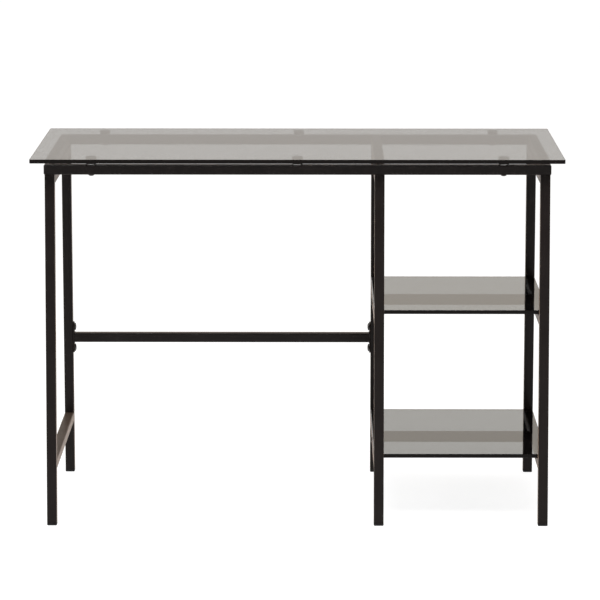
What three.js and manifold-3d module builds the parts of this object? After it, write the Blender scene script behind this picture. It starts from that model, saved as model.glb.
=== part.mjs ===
// A glass-topped computer desk on a frame of square steel tube, with two glass shelves at its right.
// Units are millimetres. +X is the user's right, +Y runs to the back of the desk, +Z is up.
// The origin is on the floor, under the middle of the desk's overall width and depth.
//
// A mitred top frame carries the glass top on six pads. Three welded leg frames are bolted up into it:
// each has a raked front leg, an upright rear leg, a top bar and one or two crossbars. The middle and
// right leg frames carry the shelves, and a rear stretcher ties the left leg frame to the middle one.

import * as THREE from 'three';
import { mergeVertices } from 'three/addons/utils/BufferGeometryUtils.js';
import Module from 'manifold-3d';

const wasm = await Module();
wasm.setup();

// ---- driving dimensions -------------------------------------------------------------------------

const GAP = 0.3;                  // clearance between two pieces that meet
const ROUND_STEPS = 10;           // sides of a round hole
const HEAD_STEPS = 12;            // sides of a bolt head or a pad
const CORNER_STEPS = 1;           // curve divisions of a rounded corner
const RIGHT_ANGLE = Math.PI / 2;

const DESK_HEIGHT = 747;
const TUBE = { size: 20, wall: 1.5, outerRadius: 2.5, innerRadius: 1 };
const HALF_TUBE = TUBE.size / 2;

const GLASS_TOP = { width: 1067, depth: 508, thickness: 8, corner: 4, arris: 0.8 };
const GLASS_CLEARANCE = 9;        // height of the pads between the frame and the glass
const FRONT_OVERHANG = 48;        // glass in front of the top frame
const REAR_OVERHANG = 20;         // glass behind the top frame
const FOOT_LEAD = 8;              // how far the front feet stand in front of the glass

const FRAME_WIDTH = 1018;         // outside of the top frame
const LEG_FRAME_X = { left: -497.5, middle: 165, right: 497.5 };
const FOOT_CAP_HEIGHT = 5;
const PLUG = { height: 16, corner: 0.8 };
const TREAD_EDGE = 1;             // bevel round a foot cap
const TREAD_STEPS = 2;

const LOWER_BAR_Z = 122;          // centre line of the low crossbars
const UPPER_BAR_Z = 414;          // centre line of the upper crossbars
const STRETCHER_Z = 297;          // centre line of the rear stretcher

const SHELF = { thickness: 8, corner: 3, arris: 0.8, left: 156, right: 506 };
const SHELF_SPANS = { upper: { front: -196, back: 210 }, lower: { front: -222, back: 212 } };
const SEAT_STRIP = { width: 12, height: 1.5, inset: 20 };

const FLANGE = { height: 68, thickness: 2.5, boltReach: 23, vent: 4 };
const END_PLATE = 3;

const PAD = { radius: 11, footRadius: 9.6, footHeight: 0.9 };
const PEG = { radius: 3, length: 6 };
const PAD_SOCKET = { radius: 3.5, depth: 6 };
const PAD_X = { left: -414, middle: 0, right: 414 };

const BOLT = { shankRadius: 3, clearance: 3.5, pointLength: 1, pointRadius: 2.2 };
const SOCKET = { radius: 2.3, depth: 2, sides: 6 };
// A bolt head's outline, as shares of its radius and of its height.
const CROWN = { flat: 0.45, shoulder: 0.72, shoulderRise: 0.86, rim: 0.3 };
const SMALL_HEAD = { radius: 6, height: 3 };
const LARGE_HEAD = { radius: 8.2, height: 3.6 };
const FRAME_BOLT_INSET = 110;     // from the frame's front and rear faces to a frame bolt

// ---- places worked out from them ----------------------------------------------------------------

const OVERALL_DEPTH = GLASS_TOP.depth + FOOT_LEAD;
const GLASS_FRONT = -OVERALL_DEPTH / 2 + FOOT_LEAD;
const GLASS_BACK = GLASS_FRONT + GLASS_TOP.depth;
const FRAME_FRONT = GLASS_FRONT + FRONT_OVERHANG;
const FRAME_BACK = GLASS_BACK - REAR_OVERHANG;
const GLASS_BOTTOM = DESK_HEIGHT - GLASS_TOP.thickness;
const RAIL_TOP = GLASS_BOTTOM - GLASS_CLEARANCE;
const RAIL_BOTTOM = RAIL_TOP - TUBE.size;
const LEG_TOP = RAIL_BOTTOM - GAP;
const LEG_HEIGHT = LEG_TOP - FOOT_CAP_HEIGHT;
const REAR_LEG_FRONT = FRAME_BACK - TUBE.size;
const TOP_BAR_Z = LEG_TOP - HALF_TUBE;
const RAKE = (FRAME_FRONT + OVERALL_DEPTH / 2) / LEG_HEIGHT;
const RAKE_ANGLE = Math.atan(RAKE);
const RAKED_DEPTH = TUBE.size / Math.cos(RAKE_ANGLE);
const FRONT_FOOT_Y = -OVERALL_DEPTH / 2 + RAKED_DEPTH / 2;

// Rear face of a raked front leg at a height above the floor.
function frontLegRear(height) {
  return FRONT_FOOT_Y + RAKED_DEPTH / 2 + RAKE * (height - FOOT_CAP_HEIGHT);
}

// ---- finishes -----------------------------------------------------------------------------------

function finish(color, roughness, metalness, opacity = 1) {
  return new THREE.MeshStandardMaterial({
    color, roughness, metalness, opacity, transparent: opacity < 1,
  });
}

const FINISH = {
  paint: () => finish(0x24211f, 0.45, 0.1),
  glass: () => finish(0x4a4a48, 0.05, 0, 0.55),
  plastic: () => finish(0x141414, 0.55, 0),
  rubber: () => finish(0x1b1b1b, 0.8, 0),
  bolt: () => finish(0x1c1b1b, 0.35, 0.8),
};

const desk = new THREE.Group();
desk.name = 'computer_desk';

// Puts a piece in the desk; a pose is its position and, where it is turned, its rotation.
function addPiece(name, geometry, material, position, rotation = [0, 0, 0]) {
  const piece = new THREE.Mesh(geometry, material());
  piece.name = name;
  piece.position.set(...position);
  piece.rotation.set(...rotation);
  desk.add(piece);
  return piece;
}

// ---- joining and cutting ------------------------------------------------------------------------

function solidFrom(geometry) {
  const bare = geometry.clone();
  bare.deleteAttribute('normal');
  bare.deleteAttribute('uv');
  const merged = mergeVertices(bare, 1e-4);
  return new wasm.Manifold(new wasm.Mesh({
    numProp: 3,
    vertProperties: Float32Array.from(merged.attributes.position.array),
    triVerts: Uint32Array.from(merged.index.array),
  }));
}

function geometryFrom(solid) {
  const mesh = solid.getMesh();
  const shared = new THREE.BufferGeometry();
  shared.setAttribute('position', new THREE.BufferAttribute(mesh.vertProperties, mesh.numProp));
  shared.setIndex(new THREE.BufferAttribute(mesh.triVerts, 1));
  const geometry = shared.toNonIndexed();
  geometry.computeVertexNormals();
  return geometry;
}

// Cuts each cutter out of a geometry.
function cutFrom(geometry, cutters) {
  let solid = solidFrom(geometry);
  for (const cutter of cutters) {
    solid = solid.subtract(solidFrom(cutter));
  }
  return geometryFrom(solid);
}

// ---- square tube --------------------------------------------------------------------------------

// A rectangle with rounded corners, about the origin.
function roundedRectangle(width, height, radius, OutlineType = THREE.Shape) {
  const x = width / 2 - radius;
  const y = height / 2 - radius;
  const outline = new OutlineType();
  const centres = [[x, y], [-x, y], [-x, -y], [x, -y]];
  centres.forEach(([centreX, centreY], corner) => {
    const start = corner * RIGHT_ANGLE;
    outline.absarc(centreX, centreY, radius, start, start + RIGHT_ANGLE, false);
  });
  return outline;
}

// An open tube along local +Z from 0. A cut's slope says how far the end plane rises per millimetre
// in local X and Y, so [0, 1] is a mitre and [0, 0] a square end.
function tube(length, startSlope = [0, 0], endSlope = [0, 0]) {
  const bore = TUBE.size - 2 * TUBE.wall;
  const section = roundedRectangle(TUBE.size, TUBE.size, TUBE.outerRadius);
  section.holes.push(roundedRectangle(bore, bore, TUBE.innerRadius, THREE.Path));
  const geometry = new THREE.ExtrudeGeometry(section, {
    depth: length, bevelEnabled: false, curveSegments: CORNER_STEPS,
  });
  const points = geometry.attributes.position;
  for (let i = 0; i < points.count; i += 1) {
    const [slopeX, slopeY] = points.getZ(i) < length / 2 ? startSlope : endSlope;
    points.setZ(i, points.getZ(i) + slopeX * points.getX(i) + slopeY * points.getY(i));
  }
  geometry.computeVertexNormals();
  return geometry;
}

// A cutter for a round hole across a tube, at a distance along it. Side 1 or -1 goes through that
// wall alone, and side 0 through both; offset moves the hole off the tube's centre line.
function crossHole(axis, along, side = 0, offset = 0, radius = BOLT.clearance) {
  const length = side === 0 ? 2 * TUBE.size : TUBE.size;
  const cutter = new THREE.CylinderGeometry(radius, radius, length, ROUND_STEPS);
  const reach = side * length / 2;
  if (axis === 'x') {
    cutter.rotateZ(RIGHT_ANGLE);
    cutter.translate(reach, offset, along);
  } else {
    cutter.translate(offset, reach, along);
  }
  return cutter;
}

// A flat plate with rounded corners and round holes, across local Z from 0.
function plate(width, height, thickness, corner, holes) {
  const outline = roundedRectangle(width, height, corner);
  for (const { y, radius } of holes) {
    const hole = new THREE.Path();
    hole.absarc(0, y, radius, 0, 2 * Math.PI, false);
    outline.holes.push(hole);
  }
  return new THREE.ExtrudeGeometry(outline, {
    depth: thickness, bevelEnabled: false, curveSegments: ROUND_STEPS / 2,
  });
}

// Turns local +Z to world +X, local X to world -Z.
const ALONG_X = [0, RIGHT_ANGLE, 0];
// Turns local +Z to world +Y, local Y to world -Z.
const ALONG_Y = [-RIGHT_ANGLE, 0, 0];

// ---- fasteners ----------------------------------------------------------------------------------

// A domed bolt with a hexagon socket: its shank runs up local +Z from 0 and its head is below 0.
function bolt(head, shankLength) {
  const profile = [
    new THREE.Vector2(0, -head.height),
    new THREE.Vector2(head.radius * CROWN.flat, -head.height),
    new THREE.Vector2(head.radius * CROWN.shoulder, -head.height * CROWN.shoulderRise),
    new THREE.Vector2(head.radius, -head.height * CROWN.rim),
    new THREE.Vector2(head.radius, 0),
    new THREE.Vector2(BOLT.shankRadius, 0),
    new THREE.Vector2(BOLT.shankRadius, shankLength - BOLT.pointLength),
    new THREE.Vector2(BOLT.pointRadius, shankLength),
    new THREE.Vector2(0, shankLength),
  ];
  const body = new THREE.LatheGeometry(profile, HEAD_STEPS);
  body.rotateX(RIGHT_ANGLE);
  const socket = new THREE.CylinderGeometry(
    SOCKET.radius, SOCKET.radius, 2 * SOCKET.depth, SOCKET.sides,
  );
  socket.rotateX(RIGHT_ANGLE);
  socket.translate(0, 0, -head.height);
  return cutFrom(body, [socket]);
}

// ---- glass --------------------------------------------------------------------------------------

// A sheet of glass with ground arrises, from local Z 0 up.
function glassSheet(width, depth, { thickness, corner, arris }) {
  const outline = roundedRectangle(width - 2 * arris, depth - 2 * arris, corner - arris);
  const geometry = new THREE.ExtrudeGeometry(outline, {
    depth: thickness - 2 * arris,
    bevelThickness: arris,
    bevelSize: arris,
    bevelSegments: 1,
    curveSegments: 2 * CORNER_STEPS,
  });
  geometry.translate(0, 0, arris);
  return geometry;
}

function buildGlassTop() {
  const sheet = glassSheet(GLASS_TOP.width, GLASS_TOP.depth, GLASS_TOP);
  addPiece('glass_top', sheet, FINISH.glass, [0, (GLASS_FRONT + GLASS_BACK) / 2, GLASS_BOTTOM]);
}

// ---- top frame ----------------------------------------------------------------------------------

const FRAME_AXIS_Z = RAIL_BOTTOM + HALF_TUBE;
const FRAME_HALF = FRAME_WIDTH / 2;
const MITRE_GAP = GAP / Math.SQRT2;
const FRAME_BOLT_YS = { front: FRAME_FRONT + FRAME_BOLT_INSET, rear: FRAME_BACK - FRAME_BOLT_INSET };
const SIDE_RAIL_X = { left: HALF_TUBE - FRAME_HALF, right: FRAME_HALF - HALF_TUBE };

// A long rail of the top frame, mitred at both ends; inward is +1 at the front and -1 at the rear.
function buildLongRail(name, y, inward) {
  const length = FRAME_WIDTH - TUBE.size - 2 * MITRE_GAP;
  const rail = tube(length, [0, inward], [0, -inward]);
  const startX = -length / 2;
  const holes = [
    crossHole('x', PAD_X.left - startX),
    crossHole('x', PAD_X.middle - startX, -1),
    crossHole('x', PAD_X.right - startX),
  ];
  addPiece(name, cutFrom(rail, holes), FINISH.paint, [startX, y, FRAME_AXIS_Z], ALONG_X);
}

// A side rail of the top frame, mitred at both ends, with a hole over each frame bolt.
function buildSideRail(name, x, inward, boltX) {
  const startY = FRAME_FRONT + HALF_TUBE + MITRE_GAP;
  const length = FRAME_BACK - HALF_TUBE - MITRE_GAP - startY;
  const rail = tube(length, [inward, 0], [-inward, 0]);
  const holes = Object.values(FRAME_BOLT_YS).map((y) => crossHole('y', y - startY, 1, boltX - x));
  addPiece(name, cutFrom(rail, holes), FINISH.paint, [x, startY, FRAME_AXIS_Z], ALONG_Y);
}

// The rail between the long rails, over the middle leg frame.
function buildMiddleRail() {
  const startY = FRAME_FRONT + TUBE.size + GAP;
  const rail = tube(FRAME_BACK - TUBE.size - GAP - startY);
  const holes = Object.values(FRAME_BOLT_YS).map((y) => crossHole('y', y - startY, 1));
  const position = [LEG_FRAME_X.middle, startY, FRAME_AXIS_Z];
  addPiece('middle_rail', cutFrom(rail, holes), FINISH.paint, position, ALONG_Y);
}

function buildTopFrame() {
  buildLongRail('front_rail', FRAME_FRONT + HALF_TUBE, 1);
  buildLongRail('rear_rail', FRAME_BACK - HALF_TUBE, -1);
  buildSideRail('left_rail', SIDE_RAIL_X.left, 1, LEG_FRAME_X.left);
  buildSideRail('right_rail', SIDE_RAIL_X.right, -1, LEG_FRAME_X.right);
  buildMiddleRail();
}

// ---- leg frames ---------------------------------------------------------------------------------

// A foot cap: a rounded block the legs stand on, with a plug that goes up into the tube.
function footCap(lean) {
  const width = TUBE.size - 2 * TREAD_EDGE;
  const depth = RAKED_DEPTH - 2 * TREAD_EDGE;
  const tread = roundedRectangle(width, depth, TUBE.outerRadius - TREAD_EDGE);
  const block = new THREE.ExtrudeGeometry(tread, {
    depth: FOOT_CAP_HEIGHT - GAP - 2 * TREAD_EDGE,
    bevelThickness: TREAD_EDGE,
    bevelSize: TREAD_EDGE,
    bevelSegments: TREAD_STEPS,
    curveSegments: CORNER_STEPS,
  });
  block.translate(0, 0, TREAD_EDGE);
  const plugSize = TUBE.size - 2 * TUBE.wall - 2 * GAP;
  const plug = new THREE.ExtrudeGeometry(roundedRectangle(plugSize, plugSize, PLUG.corner), {
    depth: PLUG.height, bevelEnabled: false, curveSegments: CORNER_STEPS,
  });
  const points = plug.attributes.position;
  for (let i = 0; i < points.count; i += 1) {
    points.setY(i, points.getY(i) + lean * points.getZ(i));
  }
  plug.translate(0, 0, FOOT_CAP_HEIGHT - 2 * GAP);
  return geometryFrom(solidFrom(block).add(solidFrom(plug)));
}

// A leg with level ends; the holes are bored through its side walls at heights above the floor.
function buildLeg(name, x, footY, lean, holes) {
  const angle = Math.atan(lean);
  const length = LEG_HEIGHT / Math.cos(angle);
  const levelSlope = [0, lean];
  const leg = tube(length, levelSlope, levelSlope);
  const cutters = holes.map(({ height, side }) => crossHole('x', height - FOOT_CAP_HEIGHT, side));
  const position = [x, footY, FOOT_CAP_HEIGHT];
  addPiece(name, cutFrom(leg, cutters), FINISH.paint, position, [-angle, 0, 0]);
}

// A bar between the legs of one leg frame, its front end cut to the rake; holes are cross holes.
function buildFrameBar(name, x, z, holesAt) {
  const startY = frontLegRear(z) + GAP;
  const bar = tube(REAR_LEG_FRONT - GAP - startY, [0, -RAKE], [0, 0]);
  addPiece(name, cutFrom(bar, holesAt(startY)), FINISH.paint, [x, startY, z], ALONG_Y);
}

// Both walls of a top bar, bored for the frame bolts.
function frameBoltHoles(startY) {
  return Object.values(FRAME_BOLT_YS).map((y) => crossHole('y', y - startY));
}

// Both walls of a crossbar, bored sideways at mid-depth for the shelf support's bolt.
function supportBoltHoles(startY) {
  return [crossHole('x', -startY)];
}

function buildLegFrame(side, barHeights, stretcherWall) {
  const x = LEG_FRAME_X[side];
  const flangeHoles = stretcherWall === 0 ? [] : [-1, 1].map((end) => (
    { height: STRETCHER_Z + end * FLANGE.boltReach, side: stretcherWall }
  ));
  buildLeg(`${side}_front_leg`, x, FRONT_FOOT_Y, RAKE, []);
  buildLeg(`${side}_rear_leg`, x, FRAME_BACK - HALF_TUBE, 0, flangeHoles);
  buildFrameBar(`${side}_top_bar`, x, TOP_BAR_Z, frameBoltHoles);
  for (const [label, height, holesAt] of barHeights) {
    buildFrameBar(`${side}_${label}`, x, height, holesAt);
  }
  addPiece(`${side}_front_foot_cap`, footCap(RAKE), FINISH.plastic, [x, FRONT_FOOT_Y, 0]);
  addPiece(`${side}_rear_foot_cap`, footCap(0), FINISH.plastic, [x, FRAME_BACK - HALF_TUBE, 0]);
}

function buildLegFrames() {
  const shelfBars = [
    ['upper_crossbar', UPPER_BAR_Z, supportBoltHoles],
    ['lower_crossbar', LOWER_BAR_Z, supportBoltHoles],
  ];
  buildLegFrame('left', [['crossbar', LOWER_BAR_Z, () => []]], 1);
  buildLegFrame('middle', shelfBars, -1);
  buildLegFrame('right', shelfBars, 0);
}

// ---- shelves ------------------------------------------------------------------------------------

// A glass shelf on a rubber strip along each crossbar, with a support bar under its middle.
function buildShelf(level, barZ) {
  const { front, back } = SHELF_SPANS[level];
  const barTop = barZ + HALF_TUBE;
  const shelfBottom = barTop + SEAT_STRIP.height;
  const sheet = glassSheet(SHELF.right - SHELF.left, back - front, SHELF);
  const centre = [(SHELF.left + SHELF.right) / 2, (front + back) / 2, shelfBottom];
  addPiece(`${level}_shelf`, sheet, FINISH.glass, centre);

  const stripDepth = back - front - 2 * SEAT_STRIP.inset;
  for (const side of ['left', 'right']) {
    const strip = new THREE.BoxGeometry(SEAT_STRIP.width, stripDepth, SEAT_STRIP.height - 2 * GAP);
    const x = LEG_FRAME_X[side === 'left' ? 'middle' : 'right'];
    const position = [x, (front + back) / 2, barTop + SEAT_STRIP.height / 2];
    addPiece(`${level}_shelf_${side}_strip`, strip, FINISH.rubber, position);
  }
}

// The bar under a shelf, with a plate in each end for the bolt that comes through the crossbar.
function buildShelfSupport(level, barZ) {
  const startX = LEG_FRAME_X.middle + HALF_TUBE + GAP;
  const length = LEG_FRAME_X.right - HALF_TUBE - GAP - startX;
  const holes = [{ y: 0, radius: BOLT.clearance }];
  const endPlate = plate(TUBE.size, TUBE.size, END_PLATE, TUBE.outerRadius, holes);
  const farPlate = endPlate.clone().translate(0, 0, length - END_PLATE);
  const body = tube(length - END_PLATE).translate(0, 0, END_PLATE / 2);
  const bar = solidFrom(body).add(solidFrom(endPlate)).add(solidFrom(farPlate));
  const name = `${level}_shelf_support`;
  addPiece(name, geometryFrom(bar), FINISH.paint, [startX, 0, barZ], ALONG_X);

  const shank = TUBE.size + 4 * END_PLATE;
  const leftX = LEG_FRAME_X.middle - HALF_TUBE - GAP;
  const rightX = LEG_FRAME_X.right + HALF_TUBE + GAP;
  const reversed = [0, -RIGHT_ANGLE, 0];
  addPiece(`${name}_left_bolt`, bolt(SMALL_HEAD, shank), FINISH.bolt, [leftX, 0, barZ], ALONG_X);
  addPiece(`${name}_right_bolt`, bolt(SMALL_HEAD, shank), FINISH.bolt, [rightX, 0, barZ], reversed);
}

// ---- rear stretcher -----------------------------------------------------------------------------

// A tube with an upright flange plate welded on each end, and two bolts through each plate.
function buildStretcher() {
  const startX = LEG_FRAME_X.left + HALF_TUBE + GAP;
  const length = LEG_FRAME_X.middle - HALF_TUBE - GAP - startX;
  const holes = [
    { y: -FLANGE.boltReach, radius: BOLT.clearance },
    { y: 0, radius: FLANGE.vent },
    { y: FLANGE.boltReach, radius: BOLT.clearance },
  ];
  const flange = plate(TUBE.size, FLANGE.height, FLANGE.thickness, HALF_TUBE - GAP, holes);
  flange.rotateZ(RIGHT_ANGLE);
  const farFlange = flange.clone().translate(0, 0, length - FLANGE.thickness);
  const body = tube(length - FLANGE.thickness).translate(0, 0, FLANGE.thickness / 2);
  const bar = solidFrom(body).add(solidFrom(flange)).add(solidFrom(farFlange));
  const y = FRAME_BACK - HALF_TUBE;
  addPiece('rear_stretcher', geometryFrom(bar), FINISH.paint, [startX, y, STRETCHER_Z], ALONG_X);

  const headInset = FLANGE.thickness + GAP;
  const shank = headInset + TUBE.size / 2;
  const ends = [
    ['left', startX + headInset, [0, -RIGHT_ANGLE, 0]],
    ['right', startX + length - headInset, ALONG_X],
  ];
  for (const [end, x, rotation] of ends) {
    for (const [level, step] of [['lower', -1], ['upper', 1]]) {
      const position = [x, y, STRETCHER_Z + step * FLANGE.boltReach];
      const name = `stretcher_${end}_${level}_bolt`;
      addPiece(name, bolt(LARGE_HEAD, shank), FINISH.bolt, position, rotation);
    }
  }
}

// ---- glass pads and frame bolts -----------------------------------------------------------------

// A pad under the glass: a drum on a slightly narrower foot, turned about local Z from the rail's top.
// A pegged pad goes into the rail by itself, and a socketed one is held by the bolt through the rail.
function glassPad(pegged) {
  const height = GLASS_CLEARANCE - 2 * GAP;
  const outside = [
    new THREE.Vector2(PAD.footRadius, 0),
    new THREE.Vector2(PAD.footRadius, PAD.footHeight),
    new THREE.Vector2(PAD.radius, PAD.footHeight),
    new THREE.Vector2(PAD.radius, height),
    new THREE.Vector2(0, height),
  ];
  const peg = [
    new THREE.Vector2(0, -PEG.length),
    new THREE.Vector2(PEG.radius, -PEG.length),
    new THREE.Vector2(PEG.radius, 0),
  ];
  const socket = [
    new THREE.Vector2(0, PAD_SOCKET.depth),
    new THREE.Vector2(PAD_SOCKET.radius, PAD_SOCKET.depth),
    new THREE.Vector2(PAD_SOCKET.radius, 0),
  ];
  const pad = new THREE.LatheGeometry([...(pegged ? peg : socket), ...outside], HEAD_STEPS);
  pad.rotateX(RIGHT_ANGLE);
  return pad;
}

function buildGlassPads() {
  const shank = TUBE.size + 2 * GAP + PAD_SOCKET.depth - BOLT.pointLength;
  for (const [row, y] of [['front', FRAME_FRONT + HALF_TUBE], ['rear', FRAME_BACK - HALF_TUBE]]) {
    for (const [column, x] of Object.entries(PAD_X)) {
      const pegged = column === 'middle';
      const name = `${row}_${column}_glass_pad`;
      addPiece(name, glassPad(pegged), FINISH.plastic, [x, y, RAIL_TOP + GAP]);
      if (!pegged) {
        addPiece(`${name}_bolt`, bolt(SMALL_HEAD, shank), FINISH.bolt, [x, y, RAIL_BOTTOM - GAP]);
      }
    }
  }
}

// The bolts that hold the top frame down on the leg frames, from under each top bar.
function buildFrameBolts() {
  const shank = TUBE.size + 3 * GAP + 2 * TUBE.wall;
  for (const [side, x] of Object.entries(LEG_FRAME_X)) {
    for (const [row, y] of Object.entries(FRAME_BOLT_YS)) {
      const position = [x, y, LEG_TOP - TUBE.size - GAP];
      addPiece(`${side}_${row}_frame_bolt`, bolt(SMALL_HEAD, shank), FINISH.bolt, position);
    }
  }
}

buildGlassTop();
buildTopFrame();
buildLegFrames();
buildShelf('upper', UPPER_BAR_Z);
buildShelf('lower', LOWER_BAR_Z);
buildShelfSupport('upper', UPPER_BAR_Z);
buildShelfSupport('lower', LOWER_BAR_Z);
buildStretcher();
buildGlassPads();
buildFrameBolts();

export default desk;
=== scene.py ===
"""A glass-topped computer desk: smoked glass top and two glass shelves on a black square-tube frame.

Every CAD node is replaced by a piece that is built here, in metres, from the node's own box. The weld
beads stand for no node.
"""

import math

import bmesh
import bpy
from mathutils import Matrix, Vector


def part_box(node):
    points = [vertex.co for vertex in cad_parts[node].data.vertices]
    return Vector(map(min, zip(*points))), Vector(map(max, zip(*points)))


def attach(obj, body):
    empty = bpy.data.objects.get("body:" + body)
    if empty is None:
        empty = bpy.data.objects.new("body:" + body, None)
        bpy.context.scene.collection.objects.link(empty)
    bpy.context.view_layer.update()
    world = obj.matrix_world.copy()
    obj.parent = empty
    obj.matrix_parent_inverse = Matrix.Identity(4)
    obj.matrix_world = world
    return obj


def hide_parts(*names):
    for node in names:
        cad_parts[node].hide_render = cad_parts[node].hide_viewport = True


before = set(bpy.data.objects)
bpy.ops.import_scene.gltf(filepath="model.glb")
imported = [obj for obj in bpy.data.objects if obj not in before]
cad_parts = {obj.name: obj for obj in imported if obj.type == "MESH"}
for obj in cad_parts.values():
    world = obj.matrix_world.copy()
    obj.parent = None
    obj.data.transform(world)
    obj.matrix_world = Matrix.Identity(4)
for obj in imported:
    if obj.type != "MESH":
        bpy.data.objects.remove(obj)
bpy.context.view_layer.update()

MM = 0.001
X_AXIS, Y_AXIS, Z_AXIS = Vector((1, 0, 0)), Vector((0, 1, 0)), Vector((0, 0, 1))
NODES = list(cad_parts)

# ---- sizes that the CAD boxes don't give ---------------------------------------------------------

TUBE = 20 * MM
HALF_TUBE = TUBE / 2
WALL = 1.5 * MM
TUBE_CORNER = 2.5 * MM
LIP = 0.35 * MM                 # rounding of a tube's cut end
JOINT_GAP = 0.3 * MM            # gap that the CAD leaves where pieces meet
CORNER_STEPS = 7
JOINT_CORNER_STEPS = 4
ROUND_STEPS = 48
SHARP_ANGLE = math.radians(32)  # edges that turn further than this stay crisp
UPRIGHT = 0.9                   # upward part of a direction past which it counts as upright

WELD_RADIUS = 1.4 * MM
WELD_PITCH = 1.7 * MM           # from one ripple of a weld bead to the next
WELD_STEP = WELD_PITCH / 6
WELD_SIDES = 10
WELD_LEAST, WELD_RIPPLE, WELD_DRIFT = 0.86, 0.14, 0.05    # shares of a bead's radius
WELD_DRIFT_LENGTHS = (5.3 * WELD_PITCH, 2.1 * WELD_PITCH)
FLUSH_INSET = 1.2 * MM          # how far a bead is ground back where two tubes lie flush

GLASS_CORNER = {"glass_top": 4 * MM, "upper_shelf": 3 * MM, "lower_shelf": 3 * MM}
GLASS_ARRIS = 0.8 * MM
ARRIS_STEPS = 4
LEVEL_FACE = 0.99               # least upward part of the normal of a sheet's top or bottom face

FLANGE_THICKNESS = 2.5 * MM
FLANGE_EDGE = 0.5 * MM

CAP_TOP = 5 * MM                # where a foot cap's block ends and its plug begins
CAP_TREAD = 2.2 * MM            # rounding of a foot cap's lower edge
CAP_GROOVE = 0.5 * MM
CAP_CORNER_LEAST = 0.6 * MM
CAP_TREAD_STEPS = 4
PLUG_BEVEL = 0.8 * MM
PLUG_BEVEL_HEIGHT = 1 * MM

PAD_WASHER_RADIUS = 9.6 * MM
PAD_WASHER = 1.2 * MM           # thickness of the washer under a pad
PAD_EDGE = 0.35 * MM
PAD_GROOVE_HEIGHT = 4.4 * MM

STRIP_CORNER = 3 * MM
STRIP_EDGE = 0.4 * MM

SOCKET_ACROSS = 4.6 * MM        # hexagon socket, across its corners
SOCKET_DEPTH = 2 * MM
SOCKET_LIP = 0.35 * MM
MOUTH_WIDTH = 0.45 * MM         # bevel round the socket's mouth
MOUTH_DEPTH = 0.02 * MM
SHANK_RADIUS = 3 * MM
LARGE_HEAD_RADIUS = 7 * MM      # a head wider than this is a large one
LARGE_HEAD_HEIGHT = 3.6 * MM
SMALL_HEAD_HEIGHT = 3 * MM
HEAD_RIM = 0.45 * MM
HEAD_BEVEL = 0.35 * MM
POINT_LENGTH = 0.8 * MM
POINT_BEVEL = 0.7 * MM
CROWN_STEPS = 6
CROWN_START, CROWN_TURN = math.radians(24), math.radians(66)
CROWN_SHARE, CROWN_POWER = 0.78, 1.15    # how much of the head the crown takes, and how it curves


# ---- camera ---------------------------------------------------------------------------------------

CAMERA_PLACE = Vector((0.0416, -6.4657, 1.5774))
CAMERA_PITCH = math.radians(10.156)
CAMERA_YAW = math.radians(0.333)
CAMERA_LENS = 189.1


def add_camera():
    data = bpy.data.cameras.new("camera")
    data.lens = CAMERA_LENS
    data.clip_end = 200
    camera = bpy.data.objects.new("camera", data)
    camera.location = CAMERA_PLACE
    camera.rotation_euler = (math.pi / 2 - CAMERA_PITCH, 0, CAMERA_YAW)
    bpy.context.collection.objects.link(camera)
    bpy.context.scene.camera = camera


# ---- outlines and lofts ---------------------------------------------------------------------------

def rounded_rectangle(width, height, radius, steps=CORNER_STEPS):
    """Points of a rectangle with rounded corners, anticlockwise, about the origin."""
    x, y = width / 2 - radius, height / 2 - radius
    points = []
    for corner, (cx, cy) in enumerate(((x, y), (-x, y), (-x, -y), (x, -y))):
        for step in range(steps):
            angle = (corner + step / (steps - 1)) * math.pi / 2
            points.append((cx + radius * math.cos(angle), cy + radius * math.sin(angle)))
    return points


def circle(radius, steps=ROUND_STEPS):
    turn = 2 * math.pi / steps
    return [(radius * math.cos(i * turn), radius * math.sin(i * turn)) for i in range(steps)]


def hexagon(corner_radius, steps=ROUND_STEPS):
    """A hexagon with as many points as a circle, so that the two can be lofted together."""
    side = math.pi / 3
    apothem = corner_radius * math.cos(side / 2)
    points = []
    for i in range(steps):
        angle = i * 2 * math.pi / steps
        radius = apothem / math.cos(angle % side - side / 2)
        points.append((radius * math.cos(angle), radius * math.sin(angle)))
    return points


def loft(mesh, rings, cyclic=False):
    """Skins a row of rings, each a list of as many points, into a closed surface."""
    rows = [[mesh.verts.new(point) for point in ring] for ring in rings]
    count = len(rows[0])
    pairs = list(zip(rows, rows[1:] + rows[:1])) if cyclic else list(zip(rows, rows[1:]))
    for low, high in pairs:
        for i in range(count):
            j = (i + 1) % count
            mesh.faces.new((low[i], low[j], high[j], high[i]))
    if not cyclic:
        mesh.faces.new(rows[0][::-1])
        mesh.faces.new(rows[-1])


def level_ring(outline, centre, height, lean=0.0):
    """An outline laid flat at a height above its centre, shifted back as it rises by its lean."""
    return [centre + Vector((x, y + lean * height, height)) for x, y in outline]


def piece(name, mesh, nodes, material):
    """Makes an object of a bmesh, which stands for CAD nodes and takes a material."""
    bmesh.ops.recalc_face_normals(mesh, faces=mesh.faces)
    for face in mesh.faces:
        face.smooth = True
    for edge in mesh.edges:
        edge.smooth = edge.calc_face_angle(0) < SHARP_ANGLE
    data = bpy.data.meshes.new(name)
    mesh.to_mesh(data)
    mesh.free()
    data.materials.append(material)
    made = bpy.data.objects.new(name, data)
    bpy.context.collection.objects.link(made)
    shading = made.modifiers.new("flat_face_shading", "WEIGHTED_NORMAL")
    shading.keep_sharp = True
    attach(made, "root")
    if nodes:
        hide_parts(*nodes)
    return made


# ---- node helpers for materials -------------------------------------------------------------------

def new_material(name):
    """A material, its node tree and its Principled node."""
    material = bpy.data.materials.new(name)
    material.use_nodes = True
    tree = material.node_tree
    return material, tree, tree.nodes["Principled BSDF"]


def object_place(tree):
    return tree.nodes.new("ShaderNodeTexCoord").outputs["Object"]


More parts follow.
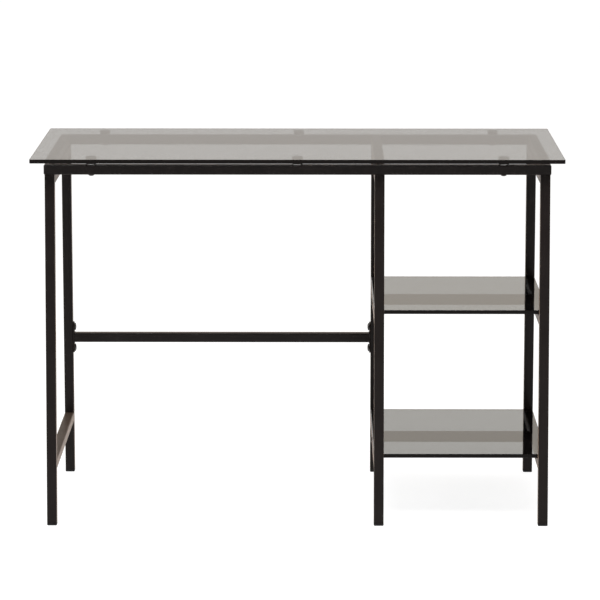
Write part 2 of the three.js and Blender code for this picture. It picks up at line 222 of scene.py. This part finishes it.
def noise(tree, place, features_per_metre, detail=2.0, roughness=0.5):
    """A noise value with that many features in a metre."""
    node = tree.nodes.new("ShaderNodeTexNoise")
    node.inputs["Scale"].default_value = features_per_metre
    node.inputs["Detail"].default_value = detail
    node.inputs["Roughness"].default_value = roughness
    tree.links.new(place, node.inputs["Vector"])
    return node.outputs["Fac"]


def ranged(tree, value, low, high, source=(0.3, 0.7)):
    """A value stretched from its source range to low and high."""
    node = tree.nodes.new("ShaderNodeMapRange")
    node.inputs["From Min"].default_value = source[0]
    node.inputs["From Max"].default_value = source[1]
    node.inputs["To Min"].default_value = low
    node.inputs["To Max"].default_value = high
    tree.links.new(value, node.inputs["Value"])
    return node.outputs["Result"]


def blended(tree, factor, first, second):
    """A colour that goes from first to second, each a colour or a socket, with factor."""
    node = tree.nodes.new("ShaderNodeMix")
    node.data_type = "RGBA"
    tree.links.new(factor, node.inputs["Factor"])
    for socket, colour in ((node.inputs["A"], first), (node.inputs["B"], second)):
        if isinstance(colour, bpy.types.NodeSocket):
            tree.links.new(colour, socket)
        else:
            socket.default_value = (*colour, 1)
    return node.outputs["Result"]


def bump(tree, height, distance, strength, normal=None):
    """A normal raised by a height value over that distance in metres."""
    node = tree.nodes.new("ShaderNodeBump")
    node.inputs["Distance"].default_value = distance
    node.inputs["Strength"].default_value = strength
    tree.links.new(height, node.inputs["Height"])
    if normal is not None:
        tree.links.new(normal, node.inputs["Normal"])
    return node.outputs["Normal"]


# ---- materials ------------------------------------------------------------------------------------

def make_paint():
    """Satin black powder coat: orange peel, a fine grain, faint rubbed patches and dust."""
    material, tree, shader = new_material("black_powder_coat")
    place = object_place(tree)
    patches = noise(tree, place, 14, detail=4)
    grain = noise(tree, place, 2600, detail=1)
    peel = noise(tree, place, 620, detail=2)
    base = blended(tree, ranged(tree, patches, 0, 1), (0.0068, 0.0050, 0.0047),
                   (0.0104, 0.0080, 0.0075))
    speck = ranged(tree, grain, 0, 0.35, source=(0.62, 0.78))
    colour = blended(tree, speck, base, (0.040, 0.034, 0.030))
    tree.links.new(colour, shader.inputs["Base Color"])
    tree.links.new(ranged(tree, patches, 0.42, 0.56), shader.inputs["Roughness"])
    shader.inputs["Specular IOR Level"].default_value = 0.04
    shader.inputs["Coat Weight"].default_value = 0.17
    shader.inputs["Coat Roughness"].default_value = 0.2
    shader.inputs["Sheen Weight"].default_value = 0.2
    shader.inputs["Sheen Roughness"].default_value = 0.35
    shader.inputs["Sheen Tint"].default_value = (1.0, 0.68, 0.48, 1)
    shader.inputs["Specular Tint"].default_value = (1.0, 0.92, 0.88, 1)
    raised = bump(tree, peel, 0.25 * MM, 0.35)
    raised = bump(tree, grain, 0.06 * MM, 0.3, raised)
    tree.links.new(raised, shader.inputs["Normal"])
    return material


GLASS_IOR = 1.52
GLASS_PASSES = (0.29, 0.325, 0.345)    # share of each colour that the absorption leaves alone
TOP_DENSITY = 122
# The shelves' glass absorbs more than the top's: the extra darkness is painted shade, standing in for
# the shaded floor beneath the shelves.
SHELF_DENSITY_WITH_PAINTED_SHADE = 198


def make_glass(name, density):
    """Grey smoked float glass, with faint cleaning smears in its polish."""
    material, tree, shader = new_material(name)
    place = object_place(tree)
    shader.inputs["Base Color"].default_value = (1, 1, 1, 1)
    shader.inputs["Transmission Weight"].default_value = 1
    shader.inputs["IOR"].default_value = GLASS_IOR
    smears = noise(tree, place, 9, detail=5, roughness=0.6)
    tree.links.new(ranged(tree, smears, 0.0, 0.03), shader.inputs["Roughness"])
    absorption = tree.nodes.new("ShaderNodeVolumeAbsorption")
    absorption.inputs["Color"].default_value = (*GLASS_PASSES, 1)
    absorption.inputs["Density"].default_value = density
    tree.links.new(absorption.outputs["Volume"], tree.nodes["Material Output"].inputs["Volume"])
    return material


def make_glass_edge():
    """The ground edge of a smoked sheet, drawn opaque and near black: painted shade for the darkness
    that light gets as it travels along the tinted glass.
    """
    material, tree, shader = new_material("smoked_glass_edge_painted_shade")
    place = object_place(tree)
    grind = noise(tree, place, 400, detail=3)
    colour = blended(tree, ranged(tree, grind, 0, 1), (0.0022, 0.0014, 0.0012),
                     (0.0040, 0.0028, 0.0024))
    tree.links.new(colour, shader.inputs["Base Color"])
    tree.links.new(ranged(tree, grind, 0.16, 0.28), shader.inputs["Roughness"])
    shader.inputs["Specular IOR Level"].default_value = 0.10
    tree.links.new(bump(tree, grind, 0.04 * MM, 0.2), shader.inputs["Normal"])
    return material


def make_plastic(name, dark, light, rough, texture_scale):
    """Moulded black plastic with a spark-eroded texture."""
    material, tree, shader = new_material(name)
    place = object_place(tree)
    mottle = noise(tree, place, 120, detail=3)
    colour = blended(tree, ranged(tree, mottle, 0, 1), dark, light)
    tree.links.new(colour, shader.inputs["Base Color"])
    tree.links.new(ranged(tree, mottle, rough - 0.06, rough + 0.08), shader.inputs["Roughness"])
    shader.inputs["Specular IOR Level"].default_value = 0.15
    texture = noise(tree, place, texture_scale, detail=2)
    tree.links.new(bump(tree, texture, 0.12 * MM, 0.4), shader.inputs["Normal"])
    return material


def make_steel(name, dark, light):
    """Plated or blackened steel, rubbed a little brighter in patches, with fine turning marks."""
    material, tree, shader = new_material(name)
    place = object_place(tree)
    rub = noise(tree, place, 300, detail=4)
    colour = blended(tree, ranged(tree, rub, 0, 1), dark, light)
    tree.links.new(colour, shader.inputs["Base Color"])
    shader.inputs["Metallic"].default_value = 0.85
    tree.links.new(ranged(tree, rub, 0.28, 0.44), shader.inputs["Roughness"])
    marks = noise(tree, place, 1500, detail=1)
    tree.links.new(bump(tree, marks, 0.05 * MM, 0.25), shader.inputs["Normal"])
    return material


# ---- square tube ----------------------------------------------------------------------------------

def cut_ring(outline, across, up, axis, point, normal):
    """An outline swept along an axis to the plane through point that faces normal."""
    ring = []
    for x, y in outline:
        offset = across * x + up * y
        ring.append(point + offset - axis * (offset.dot(normal) / axis.dot(normal)))
    return ring


def section_axes(axis):
    """Two directions across an axis, the second as upright as it can be."""
    across = axis.cross(Z_AXIS if abs(axis.z) < UPRIGHT else Y_AXIS).normalized()
    return across, across.cross(axis).normalized()


def square_tube(mesh, start, end, start_normal, end_normal):
    """A hollow tube from start to end, each end cut in its own plane."""
    axis = (end - start).normalized()
    across, up = section_axes(axis)
    outer = rounded_rectangle(TUBE, TUBE, TUBE_CORNER)
    lipped = rounded_rectangle(TUBE - 2 * LIP, TUBE - 2 * LIP, TUBE_CORNER - LIP)
    inner_size = TUBE - 2 * WALL
    inner = rounded_rectangle(inner_size, inner_size, TUBE_CORNER - WALL)

    def ring(outline, point, normal):
        return cut_ring(outline, across, up, axis, point, normal)

    loft(mesh, [
        ring(outer, start + axis * LIP, start_normal),
        ring(lipped, start, start_normal),
        ring(inner, start, start_normal),
        ring(inner, end, end_normal),
        ring(lipped, end, end_normal),
        ring(outer, end - axis * LIP, end_normal),
    ], cyclic=True)


def box_centre(node):
    low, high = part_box(node)
    return (Vector(low) + Vector(high)) / 2


RAKE_ROUNDS = 6                 # rounds that settle the angle, which the tube's depth depends on


def rake_angle(node):
    """How far a front leg leans back from upright, from its box."""
    low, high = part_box(node)
    angle = 0.0
    for _ in range(RAKE_ROUNDS):
        angle = math.atan((high[1] - low[1] - TUBE / math.cos(angle)) / (high[2] - low[2]))
    return angle


RAKE = rake_angle("left_front_leg")
RAIL_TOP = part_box("front_rail")[1][2]
RAKE_NORMAL = Vector((0, math.cos(RAKE), -math.sin(RAKE)))


def leg_line(node):
    """The ends of a leg's centre line."""
    low, high = (Vector(corner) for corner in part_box(node))
    half_depth = HALF_TUBE / math.cos(RAKE) if "front" in node else HALF_TUBE
    x = (low.x + high.x) / 2
    return Vector((x, low.y + half_depth, low.z)), Vector((x, high.y - half_depth, high.z))


def bar_line(node):
    """The ends of the centre line of a bar between two legs, its front end on the raked leg."""
    low, high = (Vector(corner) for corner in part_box(node))
    x, z = (low.x + high.x) / 2, (low.z + high.z) / 2
    front = low.y + HALF_TUBE * math.tan(RAKE) - JOINT_GAP
    return Vector((x, front, z)), Vector((x, high.y + JOINT_GAP, z))


# ---- weld beads -----------------------------------------------------------------------------------

def weld_bead(mesh, corners):
    """A rippled bead along a closed path of points."""
    path = []
    for a, b in zip(corners, corners[1:] + corners[:1]):
        steps = max(1, round((b - a).length / WELD_STEP))
        path += [a.lerp(b, i / steps) for i in range(steps)]
    rings, travelled = [], 0.0
    for i, point in enumerate(path):
        ahead, behind = path[(i + 1) % len(path)], path[i - 1]
        along = (ahead - behind).normalized()
        across, up = section_axes(along)
        travelled += (point - behind).length
        ripple = abs(math.sin(math.pi * travelled / WELD_PITCH))
        drift = sum(math.sin(travelled / length) for length in WELD_DRIFT_LENGTHS)
        radius = WELD_RADIUS * (WELD_LEAST + WELD_RIPPLE * ripple + WELD_DRIFT * drift)
        rings.append([point + across * x + up * y for x, y in circle(radius, WELD_SIDES)])
    loft(mesh, rings, cyclic=True)


def joint_path(start, end, point, normal, flush_sides=True):
    """The outline of a tube's end on the piece it meets, drawn in where the two lie flush: at the
    tube's sides, or else at its top and bottom.
    """
    axis = (end - start).normalized()
    across, up = section_axes(axis)
    narrow = TUBE - 2 * FLUSH_INSET
    width, height = (narrow, TUBE) if flush_sides else (TUBE, narrow)
    outline = rounded_rectangle(width, height, TUBE_CORNER, steps=JOINT_CORNER_STEPS)
    return cut_ring(outline, across, up, axis, point, normal)


# ---- frame pieces ---------------------------------------------------------------------------------

def add_tube(node, start, end, start_normal, end_normal, paint):
    mesh = bmesh.new()
    square_tube(mesh, start, end, start_normal, end_normal)
    piece(f"{node}_tube", mesh, [node], paint)


def add_top_frame(paint):
    """Four rails mitred at the corners, and a middle rail welded between the long ones."""
    front, rear = box_centre("front_rail"), box_centre("rear_rail")
    left, right = box_centre("left_rail"), box_centre("right_rail")
    corners = {
        (side, row): Vector((x, y, front.z))
        for side, x in (("left", left.x), ("right", right.x))
        for row, y in (("front", front.y), ("rear", rear.y))
    }
    mitre = Vector((1, -1, 0)).normalized()
    other_mitre = Vector((1, 1, 0)).normalized()
    for node, first, last, first_cut, last_cut in (
        ("front_rail", ("left", "front"), ("right", "front"), mitre, other_mitre),
        ("rear_rail", ("left", "rear"), ("right", "rear"), other_mitre, mitre),
        ("left_rail", ("left", "front"), ("left", "rear"), mitre, other_mitre),
        ("right_rail", ("right", "front"), ("right", "rear"), other_mitre, mitre),
    ):
        add_tube(node, corners[first], corners[last], first_cut, last_cut, paint)
    low, high = (Vector(corner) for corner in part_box("middle_rail"))
    x = (low.x + high.x) / 2
    start = Vector((x, low.y - JOINT_GAP, front.z))
    end = Vector((x, high.y + JOINT_GAP, front.z))
    add_tube("middle_rail", start, end, Y_AXIS, Y_AXIS, paint)
    welds = bmesh.new()
    for point in (start, end):
        weld_bead(welds, joint_path(start, end, point, Y_AXIS, flush_sides=False))
    piece("top_frame_welds", welds, [], paint)


def add_leg_frame(side, bars, paint):
    """A raked and an upright leg, a top bar and crossbars, with a bead round every joint."""
    for row in ("front", "rear"):
        node = f"{side}_{row}_leg"
        start, end = leg_line(node)
        add_tube(node, start, end + Z_AXIS * JOINT_GAP, Z_AXIS, Z_AXIS, paint)
    welds = bmesh.new()
    for bar in bars:
        node = f"{side}_{bar}"
        start, end = bar_line(node)
        add_tube(node, start, end, RAKE_NORMAL, Y_AXIS, paint)
        weld_bead(welds, joint_path(start, end, start, RAKE_NORMAL))
        weld_bead(welds, joint_path(start, end, end, Y_AXIS))
    piece(f"{side}_frame_welds", welds, [], paint)


def add_shelf_support(node, paint):
    """A bar between two crossbars."""
    low, high = (Vector(corner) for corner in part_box(node))
    y, z = (low.y + high.y) / 2, (low.z + high.z) / 2
    start, end = Vector((low.x - JOINT_GAP, y, z)), Vector((high.x + JOINT_GAP, y, z))
    add_tube(node, start, end, X_AXIS, X_AXIS, paint)


def flange_ring(size_y, size_z, corner, x, centre):
    outline = rounded_rectangle(size_y, size_z, corner)
    return [Vector((x, centre.y + a, centre.z + b)) for a, b in outline]


def add_stretcher(paint):
    """The rear stretcher: a tube with a rounded flange plate and a weld bead at each end."""
    node = "rear_stretcher"
    low, high = (Vector(corner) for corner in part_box(node))
    centre = (low + high) / 2
    mesh, welds = bmesh.new(), bmesh.new()
    start = Vector((low.x + FLANGE_THICKNESS, centre.y, centre.z))
    end = Vector((high.x - FLANGE_THICKNESS, centre.y, centre.z))
    square_tube(mesh, start, end, X_AXIS, X_AXIS)
    width, height = high.y - low.y, high.z - low.z
    for outer, inner in ((low.x - JOINT_GAP, start.x), (high.x + JOINT_GAP, end.x)):
        toward = math.copysign(FLANGE_EDGE, inner - outer)
        corner = width / 2 - JOINT_GAP
        loft(mesh, [
            flange_ring(width, height, corner, outer, centre),
            flange_ring(width, height, corner, inner - toward, centre),
            flange_ring(width - 2 * FLANGE_EDGE, height - 2 * FLANGE_EDGE, corner - FLANGE_EDGE,
                        inner, centre),
        ])
    for point in (start, end):
        weld_bead(welds, joint_path(start, end, point, X_AXIS))
    piece("rear_stretcher_weldment", mesh, [node], paint)
    piece("rear_stretcher_welds", welds, [], paint)


# ---- glass ----------------------------------------------------------------------------------------

def add_glass(node, glass, edge):
    """A sheet with rounded corners and a polished, softly rounded arris along every edge."""
    low, high = (Vector(corner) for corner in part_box(node))
    size = high - low
    centre = Vector(((low.x + high.x) / 2, (low.y + high.y) / 2, low.z))
    arris = GLASS_ARRIS
    profile = [
        (arris * (1 - math.sin(angle)), arris * (1 - math.cos(angle)))
        for angle in (i * math.pi / 2 / ARRIS_STEPS for i in range(ARRIS_STEPS + 1))
    ]
    steps = profile + [(inset, size.z - height) for inset, height in reversed(profile)]
    rings = [
        level_ring(rounded_rectangle(size.x - 2 * inset, size.y - 2 * inset,
                                     GLASS_CORNER[node] - inset), centre, height)
        for inset, height in steps
    ]
    mesh = bmesh.new()
    loft(mesh, rings)
    made = piece(f"{node}_sheet", mesh, [node], glass)
    # Edge and arris faces take the edge material, whose near-black colour is painted shade.
    made.data.materials.append(edge)
    for face in made.data.polygons:
        face.material_index = 0 if abs(face.normal.z) > LEVEL_FACE else 1


# ---- small pieces ---------------------------------------------------------------------------------

def add_foot_cap(node, plastic):
    """A cap in a leg's end: a block with a rounded tread and a groove, and a plug inside the tube."""
    low, high = (Vector(corner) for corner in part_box(node))
    lean = math.tan(RAKE) if "front" in node else 0.0
    depth = TUBE / math.cos(RAKE)
    centre = Vector(((low.x + high.x) / 2, low.y + depth / 2, 0))
    rings = []
    for i in range(CAP_TREAD_STEPS + 1):
        angle = i * math.pi / 2 / CAP_TREAD_STEPS
        rings.append((CAP_TREAD * (1 - math.sin(angle)), CAP_TREAD * (1 - math.cos(angle))))
    groove_top = CAP_TOP - CAP_GROOVE / 2
    rings += [(0, CAP_TOP - 2 * CAP_GROOVE), (CAP_GROOVE, CAP_TOP - 1.6 * CAP_GROOVE),
              (CAP_GROOVE, groove_top)]
    plug = WALL + 2 * JOINT_GAP
    rings += [(plug, groove_top), (plug, high.z - PLUG_BEVEL_HEIGHT), (plug + PLUG_BEVEL, high.z)]
    mesh = bmesh.new()
    loft(mesh, [
        level_ring(rounded_rectangle(TUBE - 2 * inset, depth - 2 * inset,
                                     max(TUBE_CORNER - inset, CAP_CORNER_LEAST)),
                   centre, height, lean if height > CAP_TOP else 0.0)
        for inset, height in rings
    ])
    piece(f"{node}_moulding", mesh, [node], plastic)


def add_glass_pad(node, plastic, zinc):
    """A pad under the glass: a drum with a shallow groove and rounded rims, on a plated washer."""
    low, high = (Vector(corner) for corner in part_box(node))
    centre = Vector(((low.x + high.x) / 2, (low.y + high.y) / 2, 0))
    top, bottom = high.z + JOINT_GAP, RAIL_TOP
    drum = (high.x - low.x) / 2
    washer, edge = PAD_WASHER_RADIUS, PAD_EDGE
    washer_top = bottom + PAD_WASHER
    groove = bottom + PAD_GROOVE_HEIGHT
    profile = [
        (washer - edge, bottom), (washer, bottom + edge), (washer, washer_top - edge),
        (washer - edge, washer_top), (drum - 2 * edge, washer_top + edge / 2),
        (drum, washer_top + 3 * edge), (drum, groove - 3 * edge),
        (drum - edge, groove - edge), (drum - edge, groove + edge),
        (drum, groove + 3 * edge), (drum, top - 2 * edge), (drum - edge, top - edge / 2),
        (drum - 2 * edge, top),
    ]
    mesh = bmesh.new()
    loft(mesh, [level_ring(circle(radius), centre, z) for radius, z in profile])
    made = piece(f"{node}_moulding", mesh, [node], plastic)
    made.data.materials.append(zinc)
    for face in made.data.polygons:
        face.material_index = 1 if face.center.z < washer_top else 0


def add_seat_strip(node, rubber):
    """A rubber strip between a crossbar and the shelf, slightly crowned along its edges."""
    low, high = (Vector(corner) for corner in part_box(node))
    size = high - low
    centre = Vector(((low.x + high.x) / 2, (low.y + high.y) / 2, low.z - JOINT_GAP))
    height = size.z + 2 * JOINT_GAP
    rings = [(STRIP_EDGE, 0), (0, STRIP_EDGE), (0, height - STRIP_EDGE), (STRIP_EDGE, height)]
    mesh = bmesh.new()
    loft(mesh, [
        level_ring(rounded_rectangle(size.x - 2 * inset, size.y - 2 * inset, STRIP_CORNER - inset),
                   centre, z)
        for inset, z in rings
    ])
    piece(f"{node}_rubber", mesh, [node], rubber)


def bolt_facing(node):
    """The direction a bolt's head faces."""
    if node.startswith("stretcher_left") or "support_right" in node:
        return X_AXIS
    if node.startswith("stretcher_right") or "support_left" in node:
        return -X_AXIS
    return -Z_AXIS


def add_bolt(node, steel):
    """A button-head bolt with a hexagon socket, a rounded rim and a plain shank."""
    low, high = (Vector(corner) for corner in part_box(node))
    facing = bolt_facing(node)
    centre = (low + high) / 2
    length = abs((high - low).dot(facing))
    across, up = section_axes(facing)
    head = abs((high - low).dot(across)) / 2
    rise = LARGE_HEAD_HEIGHT if head > LARGE_HEAD_RADIUS else SMALL_HEAD_HEIGHT
    crown = centre + facing * (length / 2)
    socket = hexagon(SOCKET_ACROSS / 2)
    mouth = circle(SOCKET_ACROSS / 2 + MOUTH_WIDTH)
    rings = [(socket, SOCKET_DEPTH), (socket, SOCKET_LIP), (mouth, MOUTH_DEPTH)]
    for i in range(CROWN_STEPS + 1):
        angle = CROWN_START + CROWN_TURN * i / CROWN_STEPS
        depth = rise * CROWN_SHARE * (1 - math.cos(angle)) ** CROWN_POWER
        rings.append((circle(head * math.sin(angle)), depth))
    rings += [
        (circle(head), rise - HEAD_RIM), (circle(head - HEAD_BEVEL), rise),
        (circle(SHANK_RADIUS), rise), (circle(SHANK_RADIUS), length - POINT_LENGTH),
        (circle(SHANK_RADIUS - POINT_BEVEL), length),
    ]
    mesh = bmesh.new()
    loft(mesh, [
        [crown - facing * depth + across * x + up * y for x, y in outline]
        for outline, depth in rings
    ])
    piece(f"{node}_steel", mesh, [node], steel)


# ---- studio ---------------------------------------------------------------------------------------

FLOOR_SIZE = 120
FLOOR_COLOUR = (0.22, 0.22, 0.22)
FLOOR_GLOW = 0.86
WORLD_STEPS = (
    (0.0, (0.63, 0.60, 0.58)), (0.10, (0.64, 0.605, 0.58)), (0.18, (0.75, 0.69, 0.61)),
    (0.32, (0.75, 0.695, 0.625)), (0.5, (0.95, 0.91, 0.87)), (1.0, (1.25, 1.22, 1.19)),
)
FRONT_LEVEL = 0.09              # how bright the studio is in front of the desk, as a share
FRONT_SPAN = (-0.9, 0.1)        # directions along Y over which it brightens to its full level
SOFTBOXES = (
    # name, place, aim, width, height, watts
    ("overhead_softbox", Vector((-0.6, -0.2, 3.2)), Vector((0, 0, 0.4)), 2.6, 2.0, 60),
    ("left_softbox", Vector((-3.2, 0.6, 2.7)), Vector((0, 0, 0.4)), 1.8, 2.0, 45),
    ("front_softbox", Vector((0.1, -1.5, 2.1)), Vector((0, -0.2, 0.5)), 1.8, 0.6, 52),
)


def add_floor():
    """A pale floor that gives a little light of its own, as a lit studio sweep does."""
    mesh = bmesh.new()
    bmesh.ops.create_grid(mesh, x_segments=24, y_segments=24, size=FLOOR_SIZE / 2)
    data = bpy.data.meshes.new("studio_floor")
    mesh.to_mesh(data)
    mesh.free()
    material, _, shader = new_material("studio_floor_white")
    shader.inputs["Base Color"].default_value = (*FLOOR_COLOUR, 1)
    shader.inputs["Roughness"].default_value = 1
    shader.inputs["Specular IOR Level"].default_value = 0
    shader.inputs["Emission Color"].default_value = (1, 1, 1, 1)
    shader.inputs["Emission Strength"].default_value = FLOOR_GLOW
    data.materials.append(material)
    floor = bpy.data.objects.new("studio_floor", data)
    bpy.context.collection.objects.link(floor)


def add_world():
    """A pale studio: brighter overhead, darker in front of the desk."""
    world = bpy.data.worlds.new("studio")
    bpy.context.scene.world = world
    world.use_nodes = True
    tree = world.node_tree
    direction = tree.nodes.new("ShaderNodeSeparateXYZ")
    tree.links.new(tree.nodes.new("ShaderNodeTexCoord").outputs["Generated"], direction.inputs[0])
    ramp = tree.nodes.new("ShaderNodeValToRGB")
    stops = ramp.color_ramp.elements
    while len(stops) < len(WORLD_STEPS):
        stops.new(1)
    for stop, (height, colour) in zip(stops, WORLD_STEPS):
        stop.position = height
        stop.color = (*colour, 1)
    tree.links.new(direction.outputs["Z"], ramp.inputs["Fac"])
    front = tree.nodes.new("ShaderNodeMapRange")
    front.interpolation_type = "SMOOTHSTEP"
    front.inputs["From Min"].default_value, front.inputs["From Max"].default_value = FRONT_SPAN
    front.inputs["To Min"].default_value = FRONT_LEVEL
    front.inputs["To Max"].default_value = 1
    tree.links.new(direction.outputs["Y"], front.inputs["Value"])
    background = tree.nodes["Background"]
    tree.links.new(ramp.outputs["Color"], background.inputs["Color"])
    tree.links.new(front.outputs["Result"], background.inputs["Strength"])


def add_softbox(name, place, aim, width, height, watts):
    """A rectangular light that shows neither to the camera nor as a reflection in the glass."""
    data = bpy.data.lights.new(name, "AREA")
    data.shape = "RECTANGLE"
    data.size, data.size_y = width, height
    data.energy = watts
    lamp = bpy.data.objects.new(name, data)
    lamp.visible_camera = False
    lamp.visible_glossy = False
    lamp.location = place
    lamp.rotation_euler = (aim - place).to_track_quat("-Z", "Y").to_euler()
    bpy.context.collection.objects.link(lamp)


# ---- the desk in its studio -----------------------------------------------------------------------

add_camera()

paint = make_paint()
top_glass = make_glass("smoked_glass_top", TOP_DENSITY)
# The shelf glass is darker than the top glass: painted shade for the shaded floor seen beneath the
# shelves.
shelf_glass = make_glass("smoked_glass_shelf_painted_shade", SHELF_DENSITY_WITH_PAINTED_SHADE)
glass_edge = make_glass_edge()
steel = make_steel("black_oxide_steel", (0.035, 0.033, 0.032), (0.085, 0.080, 0.076))
zinc = make_steel("dull_zinc", (0.66, 0.65, 0.64), (0.78, 0.77, 0.76))
foot_plastic = make_plastic("foot_plastic", (0.008, 0.008, 0.008), (0.016, 0.015, 0.015), 0.5, 1400)
pad_plastic = make_plastic("pad_plastic", (0.012, 0.012, 0.012), (0.022, 0.021, 0.020), 0.42, 1800)
rubber = make_plastic("seat_rubber", (0.010, 0.010, 0.010), (0.018, 0.018, 0.018), 0.75, 900)

add_top_frame(paint)
add_leg_frame("left", ["top_bar", "crossbar"], paint)
for shelf_side in ("middle", "right"):
    add_leg_frame(shelf_side, ["top_bar", "upper_crossbar", "lower_crossbar"], paint)
add_stretcher(paint)
for support in ("upper_shelf_support", "lower_shelf_support"):
    add_shelf_support(support, paint)
for sheet in GLASS_CORNER:
    add_glass(sheet, top_glass if sheet == "glass_top" else shelf_glass, glass_edge)
for small in NODES:
    if small.endswith("_foot_cap"):
        add_foot_cap(small, foot_plastic)
    elif small.endswith("_glass_pad"):
        add_glass_pad(small, pad_plastic, zinc)
    elif small.endswith("_strip"):
        add_seat_strip(small, rubber)
    elif small.endswith("_bolt"):
        add_bolt(small, steel)

add_floor()
add_world()
for softbox in SOFTBOXES:
    add_softbox(*softbox)
bpy.context.scene.view_settings.view_transform = "Standard"
